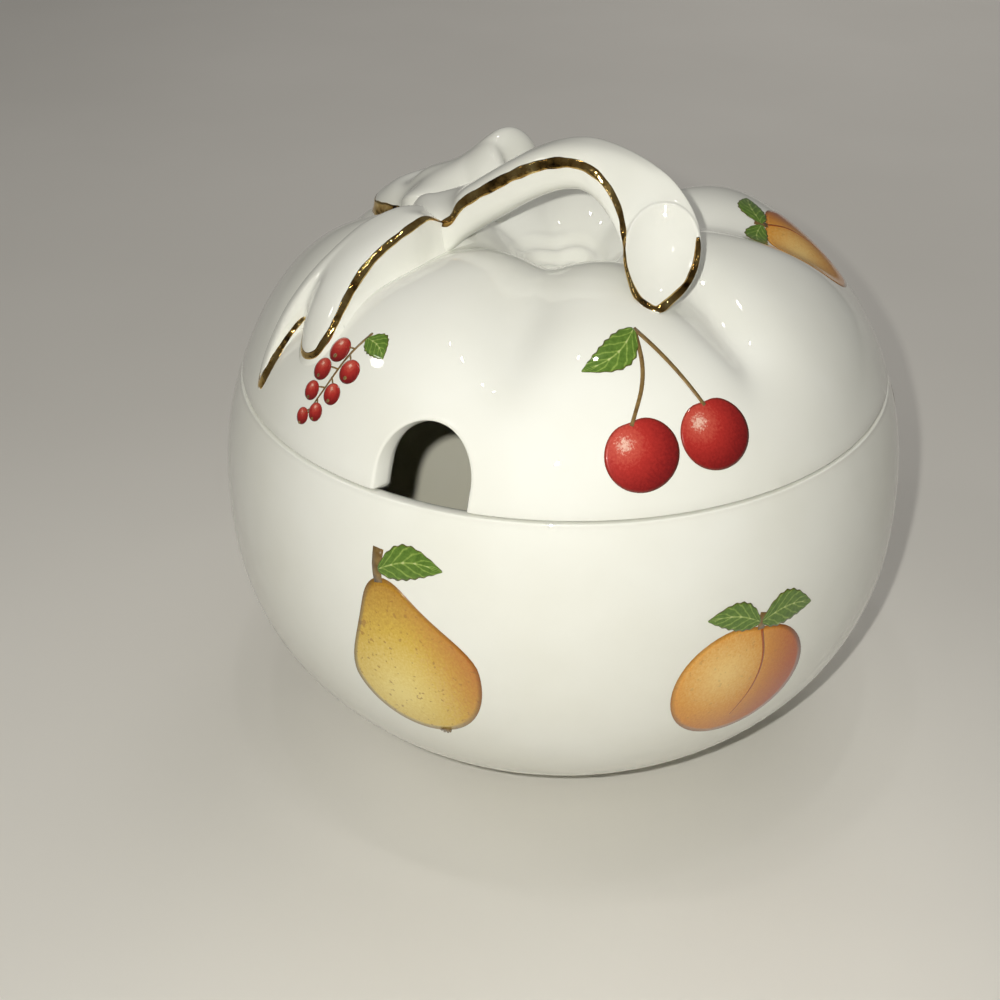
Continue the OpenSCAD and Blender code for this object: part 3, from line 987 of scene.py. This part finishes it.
def gold():
    """Burnished gold lustre, mottled by a noise from its own gold colour to near-black; the near-black
    patches are painted dark reflection.
    """
    paint = Paint("gold_lustre")
    dark_reflection_mottle = paint.noise(210, detail=4, roughness=0.65)
    fine = paint.noise(1300, detail=3, roughness=0.6)
    rolls = paint.bump(paint.noise(420, detail=2), 0.00035)
    # The near-black stop of this ramp is painted dark reflection; the brighter stops are the gold's own
    # colour.
    paint.set(Base_Color=paint.ramp(dark_reflection_mottle, (0.38, (0.035, 0.017, 0.007)), (0.48, (0.55, 0.33, 0.09)),
                                    (0.66, (0.95, 0.72, 0.30))),
              Metallic=1.0, Roughness=paint.span(fine, 0.3, 0.75, 0.04, 0.16),
              Normal=paint.bump(fine, 0.00002, Normal=rolls))
    return paint.material


def make_gold(twig, front_leaf, rear_leaf, materials):
    """Gold on the front edges of leaf and twig, round the cut end and on the rear leaf."""
    edge = leaf_surface(EDGE_RUN, np.full(len(EDGE_RUN), LEAF_EDGE))
    leaf_line = smooth_line(np.concatenate([edge, leaf_surface(*TIPS_RUN)]), GOLD_STEP)
    line = [twig_ring(u, 1, np.radians([a, a + 180]))[0] for u, a in smooth_line(TWIG_STATIONS, 0.5)]
    for angle, share in zip(OVAL_TURNS, OVAL_SHARES):
        line.append(settle(cut_ring(share, OVAL_BACK, np.radians([angle, angle + 180])))[0])
    tip = rear_surface(np.full(len(TIP_TURNS), TIP_REACH), np.radians(TIP_TURNS))
    skin = Skin()
    lay_band(skin, tree_of(front_leaf, twig), leaf_line, LEAF_WIDTHS)
    lay_band(skin, tree_of(twig), smooth_line(line, GOLD_STEP), TWIG_WIDTHS)
    lay_band(skin, tree_of(rear_leaf), smooth_line(tip, GOLD_STEP), TIP_WIDTHS)
    return skin.piece("gold_line", "cover", "gilding", materials)


# Fruit prints, a generic set of single fruits under the glaze

PRINT_LIFT = 0.05
PRINT_REACH = 30.0
LAYER_STEP = 0.4
VEIN_STEP = 34.0
VEIN_SLANT = 11.0
STRIP_STEP = 0.06
TEETH = 46
TOOTH = 0.05
CLEFT_W = 0.3
PEAR_W = 0.72
PEAR_BASE = 0.86
NECK_IN = 0.42
NECK_FROM = -0.15
CHERRY_STOPS = ((0.0, (0.09, 0.004, 0.006)), (0.3, (0.24, 0.011, 0.010)), (0.62, (0.42, 0.026, 0.020)),
                (0.86, (0.56, 0.09, 0.06)), (0.97, (0.80, 0.50, 0.40)))
PEAR_STOPS = ((0.0, (0.24, 0.10, 0.012)), (0.22, (0.44, 0.23, 0.025)), (0.55, (0.66, 0.44, 0.06)),
              (0.95, (0.84, 0.68, 0.24)))
APRICOT_STOPS = ((0.0, (0.34, 0.075, 0.010)), (0.25, (0.54, 0.17, 0.018)), (0.6, (0.72, 0.33, 0.05)),
                 (0.95, (0.86, 0.58, 0.20)))
LEAF_STOPS = ((0.0, (0.05, 0.11, 0.012)), (0.4, (0.12, 0.22, 0.03)), (0.7, (0.25, 0.36, 0.07)),
              (1.0, (0.50, 0.56, 0.22)))
STEM_STOPS = ((0.2, (0.10, 0.05, 0.015)), (0.8, (0.30, 0.20, 0.07)))
RED_BLUSH = (0.42, 0.05, 0.018)
FRECKLE = (0.34, 0.15, 0.03)
OUTLINE_INK = (0.09, 0.03, 0.012)


def glazed(paint, colour):
    """Finish of a print under the same clear glaze as the porcelain."""
    waves = glaze_waves(paint)
    paint.set(Base_Color=colour, Roughness=0.3, Specular_IOR_Level=0.12, IOR=GLAZE_IOR, Coat_Weight=1.0,
              Coat_Roughness=0.03, Normal=waves, Coat_Normal=waves)
    return paint.material


def spot_of(paint):
    return paint.add("Attribute", {"attribute_name": "spot"}).outputs["Vector"]


def fruit_ink(name, stops, shine, blush=0.0, freckles=0.0):
    """Stippled ink shaded round a shine, with a blush on one side and freckles."""
    paint = Paint(name)
    spot = spot_of(paint)
    parts = paint.add("SeparateXYZ", Vector=spot).outputs
    scale = 0.62
    round_shine = paint.add("Mapping", Vector=spot, Location=(-shine[0] * scale, -shine[1] * scale, 0),
                            Scale=(scale, scale, 0)).outputs["Vector"]
    near = paint.add("TexGradient", {"gradient_type": "SPHERICAL"}, Vector=round_shine).outputs["Fac"]
    drawn_out = paint.add("Mapping", Vector=spot, Scale=(9, 3, 0)).outputs["Vector"]
    strokes = paint.noise(6, detail=5, roughness=0.7, place=drawn_out)
    stipple = paint.noise(2600, detail=2)
    factor = paint.math("ADD", near, paint.span(strokes, 0.2, 0.8, -0.1, 0.1))
    colour = paint.ramp(paint.math("ADD", factor, paint.span(stipple, 0.3, 0.7, -0.07, 0.07)), *stops)
    side = paint.math("ADD", parts["X"], paint.span(strokes, 0.2, 0.8, -0.35, 0.35))
    colour = paint.mix(paint.span(side, 0.1, 0.9, 0.0, blush), colour, RED_BLUSH)
    dots = paint.noise(1100, detail=1)
    colour = paint.mix(paint.span(dots, 0.66, 0.72, 0.0, freckles), colour, FRECKLE)
    colour = paint.mix(paint.span(parts["Z"], 0.93, 1.0, 0.0, 0.6), colour, OUTLINE_INK)
    return glazed(paint, colour)


def leaf_ink():
    """Green ink with a pale midrib and side veins."""
    paint = Paint("print_leaf")
    parts = paint.add("SeparateXYZ", Vector=spot_of(paint)).outputs
    off_rib = paint.math("ABSOLUTE", parts["Y"])
    along = paint.math("MULTIPLY", parts["X"], VEIN_STEP)
    veins = paint.math("SINE", paint.math("MULTIPLY_ADD", off_rib, -VEIN_SLANT, along))
    strokes = paint.noise(1400, detail=4, roughness=0.7)
    tone = paint.math("ADD", paint.span(veins, 0.55, 1.0, 0.25, 0.6),
                      paint.span(strokes, 0.25, 0.75, -0.2, 0.25))
    rib = paint.span(off_rib, 0.0, 0.09, 0.55, 0.0)
    colour = paint.ramp(paint.math("ADD", tone, rib), *LEAF_STOPS)
    colour = paint.mix(paint.span(off_rib, 0.88, 1.0, 0.0, 0.7), colour, OUTLINE_INK)
    return glazed(paint, colour)


def stem_ink():
    paint = Paint("print_stem")
    return glazed(paint, paint.ramp(paint.noise(900, detail=3), *STEM_STOPS))


class Motif:
    """One print, laid on the bowl or the lid round a point of its skin."""

    def __init__(self, tree, origin, toward, tilt, size):
        self.tree = tree
        self.size = size
        self.centre, self.normal = tree.ray_cast(Vector(origin) * MM, Vector(toward))[:2]
        right = Vector((0, 0, 1)).cross(self.normal).normalized()
        up = self.normal.cross(right)
        turn = math.radians(tilt)
        self.right = right * math.cos(turn) + up * math.sin(turn)
        self.up = up * math.cos(turn) - right * math.sin(turn)
        self.skin = Skin()
        self.inks = []

    def lay(self, plan, lift):
        """Points of the skin under points of the plan, moved out by a lift."""
        laid = np.zeros((*plan.shape[:2], 3))
        for index in np.ndindex(plan.shape[:2]):
            across, along = plan[index] * self.size * MM
            flat = self.centre + self.right * float(across) + self.up * float(along)
            spot, normal = self.tree.ray_cast(flat + self.normal * PRINT_REACH * MM, -self.normal)[:2]
            laid[index] = np.array(spot + normal * lift * MM) / MM
        return laid

    def patch(self, plan, spots, ink, layer, wrap=False):
        """A thin closed patch in the ink of a name; later layers lie a little higher."""
        if ink not in self.inks:
            self.inks.append(ink)
        top = self.lay(plan, PRINT_LIFT * (1 + LAYER_STEP * layer))
        under = self.lay(plan, -PRINT_LIFT)
        both = np.concatenate([spots.reshape(-1, 3)] * 2)
        self.skin.add(*shell(top, under, wrap), self.inks.index(ink), both)

    def disc(self, outline, ink, layer=0, at=(0, 0), rings=12):
        """Fruit inside a closed outline round a point."""
        shares = np.linspace(0, 1, rings)[:, None, None]
        rim_spots = np.column_stack([outline / np.abs(outline).max(), np.ones(len(outline))])
        self.patch(np.array(at) + shares * outline, shares * rim_spots, ink, layer, wrap=True)

    def strip(self, points, half_width, layer=1, taper=0.5, ink="stem"):
        """Stem along a smooth line that gets thinner to its end."""
        line = smooth_line(points, STRIP_STEP)
        widths = half_width * np.linspace(1, taper, len(line))
        side = widths[:, None] * left_of(np.gradient(line, axis=0))
        plan = np.stack([line - side, line, line + side], 1)
        self.patch(plan, np.zeros((*plan.shape[:2], 3)), ink, layer)

    def leaf(self, root, tip, width, layer=2, bend=0.12):
        """Pointed leaf from root to tip, with a bent midrib and a toothed edge."""
        root, tip = np.array(root, float), np.array(tip, float)
        along, across = np.linspace(0.01, 0.99, 40), np.linspace(-1, 1, 13)
        run = tip - root
        side = left_of(run)
        sag = bend * np.linalg.norm(run) * np.sin(math.pi * along)
        rib = root + along[:, None] * run + sag[:, None] * side
        half = width * np.sin(math.pi * along ** 0.8) ** 0.9 * (1 + TOOTH * np.sin(TEETH * along))
        plan = rib[:, None] + (half[:, None] * across)[..., None] * side
        spots = np.zeros((*plan.shape[:2], 3))
        spots[..., 0], spots[..., 1] = along[:, None], across
        self.patch(plan, spots, "leaf", layer)


def round_outline(cleft, squash=1.0, count=56):
    """Round fruit with a soft cleft at its stalk."""
    turn = np.linspace(-math.pi, math.pi, count, endpoint=False)
    off = np.abs((turn + math.pi / 2) % (2 * math.pi) - math.pi)
    r = 1 - cleft * np.exp(-(off / CLEFT_W) ** 2)
    return np.stack([r * np.cos(turn), squash * r * np.sin(turn)], -1)


def pear_outline(count=72):
    turn = np.linspace(-math.pi, math.pi, count, endpoint=False)
    height = np.sin(turn)
    width = PEAR_W * np.cos(turn) * (1 - NECK_IN * ease(height - NECK_FROM))
    return np.stack([width, height * np.where(height > 0, 1, PEAR_BASE)], -1)


def paint_pear(motif):
    motif.disc(pear_outline(), "pear")
    motif.strip([(0.0, 0.95), (0.02, 1.1), (0.1, 1.28)], 0.045, taper=1.3)
    motif.leaf((0.03, 1.08), (0.72, 0.98), 0.17)
    for turn in range(5):
        motif.strip([(0, -0.84), 0.07 * direction(200 + 35 * turn) + (0, -0.84)], 0.02, 2)


def paint_apricot(motif):
    motif.disc(round_outline(0.07, 0.94), "apricot")
    motif.strip([(0.02, 0.84), (0.22, 0.4), (0.24, -0.1), (0.1, -0.6)], 0.02, taper=0.3, ink="seam")
    motif.strip([(0.0, 0.84), (-0.03, 1.0), (-0.02, 1.08)], 0.05, 2, taper=1.2)
    motif.leaf((-0.02, 0.95), (0.8, 1.12), 0.24)
    motif.leaf((-0.04, 0.95), (-0.85, 0.98), 0.2, 3, bend=-0.1)


def paint_cherries(motif):
    fork = (0.08, 1.0)
    for layer, (x, y) in enumerate(((-0.5, -0.42), (0.42, -0.5))):
        stalk = [fork, (x * 0.4 + 0.1, 0.4), (x, y + 0.34)]
        motif.strip(stalk, 0.028, 1 + layer, taper=0.8)
        motif.disc(0.44 * round_outline(0.08, 0.95), "cherry", layer, (x, y))
    motif.leaf(fork, (-0.75, 0.72), 0.2, 3)


def paint_currants(motif):
    motif.strip([(0.05, 1.15), (0.0, 0.5), (0.06, -0.2), (0.0, -1.0)], 0.03, 0)
    places = ((-0.3, 0.45), (0.32, 0.3), (-0.34, -0.08), (0.3, -0.28), (-0.24, -0.55), (0.18, -0.8),
              (-0.1, -1.08))
    for layer, (x, y) in enumerate(places):
        motif.strip([(0.02, y + 0.24), (x * 0.6, y + 0.16), (x, y)], 0.02)
        berry = (0.27 - 0.016 * layer) * round_outline(0.0)
        motif.disc(berry, "cherry", 1 + layer % 3, (x, y), rings=7)
        motif.disc(0.16 * berry, "stem", 5, (x + 0.02, y - 0.15), rings=3)
    motif.leaf((0.05, 1.0), (0.75, 0.95), 0.26, 3)


# Name, painter, angle round the pot, height or radius, tilt and size of each print
ON_BOWL = (("pear", paint_pear, -90, 42, 20, 15.5),
           ("apricot", paint_apricot, -40, 38, -14, 12.0),
           ("currants", paint_currants, 22, 47, 24, 12.5),
           ("cherries", paint_cherries, 82, 42, -18, 15.0),
           ("pear_small", paint_pear, 140, 40, -32, 13.0),
           ("apricot_small", paint_apricot, 196, 46, 20, 10.0))
ON_LID = (("cherries", paint_cherries, -50, 47.5, 12, 12.5),
          ("currants", paint_currants, -113, 49, -14, 7.5),
          ("apricot", paint_apricot, 30, 42, 18, 10.0),
          ("pear", paint_pear, 105, 44, -24, 10.5))


def make_prints(bowl, lid):
    inks = {"cherry": fruit_ink("print_cherry", CHERRY_STOPS, (-0.34, 0.4)),
            "pear": fruit_ink("print_pear", PEAR_STOPS, (-0.25, -0.3), blush=0.75, freckles=0.6),
            "apricot": fruit_ink("print_apricot", APRICOT_STOPS, (-0.35, 0.2), blush=0.7, freckles=0.25),
            "seam": fruit_ink("print_seam", APRICOT_STOPS[:2], (3, 3)),
            "leaf": leaf_ink(), "stem": stem_ink()}
    on_bowl, on_lid = tree_of(bowl), tree_of(lid)
    for name, painter, angle, z, tilt, size in ON_BOWL:
        x, y = direction(angle)
        motif = Motif(on_bowl, (2 * POT_R * x, 2 * POT_R * y, z), (-x, -y, 0), tilt, size)
        painter(motif)
        motif.skin.piece("print_bowl_" + name, "bowl", "print", [inks[ink] for ink in motif.inks])
    for name, painter, angle, r, tilt, size in ON_LID:
        x, y = direction(angle)
        motif = Motif(on_lid, (r * x, r * y, 3 * POT_R), (0, 0, -1), tilt, size)
        painter(motif)
        motif.skin.piece("print_lid_" + name, "cover", "print", [inks[ink] for ink in motif.inks])


# Stage, light and camera

FLOOR_SIDE = 4.0
CENTRE = (0, 0, BELLY_Z * MM)
KEY_LEFT = 0.012
KEY_UP = 0.006
WARM = (1.0, 0.96, 0.88)
NEUTRAL = (1.0, 0.98, 0.95)
AIR = (1.0, 0.97, 0.93, 1)
AIR_STRENGTH = 0.1
CLIP_START = 0.01
# Name, place, target, diameter, power and colour of each light
LAMPS = (("lamp_left", (-0.36, -0.16, 0.40), CENTRE, 0.045, 0.06, WARM),
         ("lamp_front", (-0.16, -0.55, 0.66), CENTRE, 0.06, 0.08, WARM),
         ("lamp_above", (-0.12, -0.05, 1.0), CENTRE, 0.03, 0.25, NEUTRAL),
         ("lamp_above", (0.06, -0.05, 1.0), CENTRE, 0.03, 0.25, NEUTRAL))
FILLS = (("left", (-0.55, -0.35, 0.75), CENTRE, 0.6, 0.5, NEUTRAL),
         ("top", (0.15, 0.42, 0.85), CENTRE, 0.7, 1.3, NEUTRAL),
         ("back", (-0.1, 0.8, 0.55), (-0.1, 0.45, 0), 0.5, 0.95, (1.0, 0.97, 0.94)))


def floor_paint():
    paint = Paint("pale_table")
    cloud = paint.noise(6, detail=3)
    paint.set(Base_Color=paint.ramp(cloud, (0.3, (0.80, 0.78, 0.73)), (0.7, (0.75, 0.73, 0.68))),
              Roughness=0.55)
    return paint.material


def make_stage():
    mesh = bpy.data.meshes.new("floor")
    half = FLOOR_SIDE / 2
    corners = [(-half, -half, 0), (half, -half, 0), (half, half, 0), (-half, half, 0)]
    mesh.from_pydata(corners, [], [(0, 1, 2, 3)])
    mesh.materials.append(floor_paint())
    floor = add_object("floor", mesh)


def aim(thing, place, target):
    thing.location = place
    thing.rotation_euler = (Vector(target) - Vector(place)).to_track_quat("-Z", "Y").to_euler()


def add_light(name, place, target, side, power, colour):
    light = bpy.data.lights.new(name, "AREA")
    light.shape = "DISK"
    light.size = side
    light.energy = power
    light.color = colour
    lamp = add_object(name, light)
    aim(lamp, place, target)
    return lamp


def camera_place():
    """Where the camera stands, and its directions to the right and up."""
    turn, tilt = math.radians(CAMERA_AZIMUTH), math.radians(CAMERA_ELEVATION)
    back = Vector((math.sin(turn) * math.cos(tilt), -math.cos(turn) * math.cos(tilt), math.sin(tilt)))
    right = Vector((math.cos(turn), math.sin(turn), 0))
    return Vector(CENTRE) + back * CAMERA_DISTANCE * MM, right, back.cross(right)


def make_lights():
    """A key light by the lens, small lamps for glints, and broad fills kept out of the gloss."""
    lens, right, up = camera_place()
    add_light("key", lens - right * KEY_LEFT + up * KEY_UP, CENTRE, 0.004, 0.36, (1.0, 0.985, 0.92))
    for lamp in LAMPS:
        add_light(*lamp)
    for fill in FILLS:
        add_light(*fill).visible_glossy = False
    world = bpy.data.worlds.new("studio")
    world.use_nodes = True
    background = world.node_tree.nodes["Background"]
    background.inputs["Color"].default_value = AIR
    background.inputs["Strength"].default_value = AIR_STRENGTH
    bpy.context.scene.world = world
    bpy.context.scene.view_settings.view_transform = "Standard"


def make_camera():
    data = bpy.data.cameras.new("camera")
    data.sensor_width = SENSOR
    data.lens = FOCAL_PX * SENSOR / IMAGE_SIDE
    data.shift_x = 0.5 - BELLY_PX[0] / IMAGE_SIDE
    data.shift_y = BELLY_PX[1] / IMAGE_SIDE - 0.5
    data.clip_start = CLIP_START
    camera = add_object("camera", data)
    aim(camera, camera_place()[0], CENTRE)
    roll = Matrix.Rotation(math.radians(CAMERA_ROLL), 3, "Z")
    camera.rotation_euler = (camera.rotation_euler.to_matrix() @ roll).to_euler()
    bpy.context.scene.camera = camera


make_camera()
make_lights()
make_stage()

glaze = porcelain("glazed_porcelain", GLAZE_WHITE, GLAZE_CREAM)
# A lighter, warmer copy of the glaze for the inside of the bowl: painted light.
inside_glaze_painted_light = porcelain("inside_glaze_painted_light", PAINTED_LIGHT_INSIDE_WHITE, PAINTED_LIGHT_INSIDE_CREAM)
bowl = make_bowl([glaze, bisque(), inside_glaze_painted_light])
lid = make_lid([glaze])
twig = make_twig([glaze])
front_leaf = make_front_leaf([glaze])
rear_leaf = make_rear_leaf([glaze])
make_gold(twig, front_leaf, rear_leaf, [gold()])
make_prints(bowl, lid)
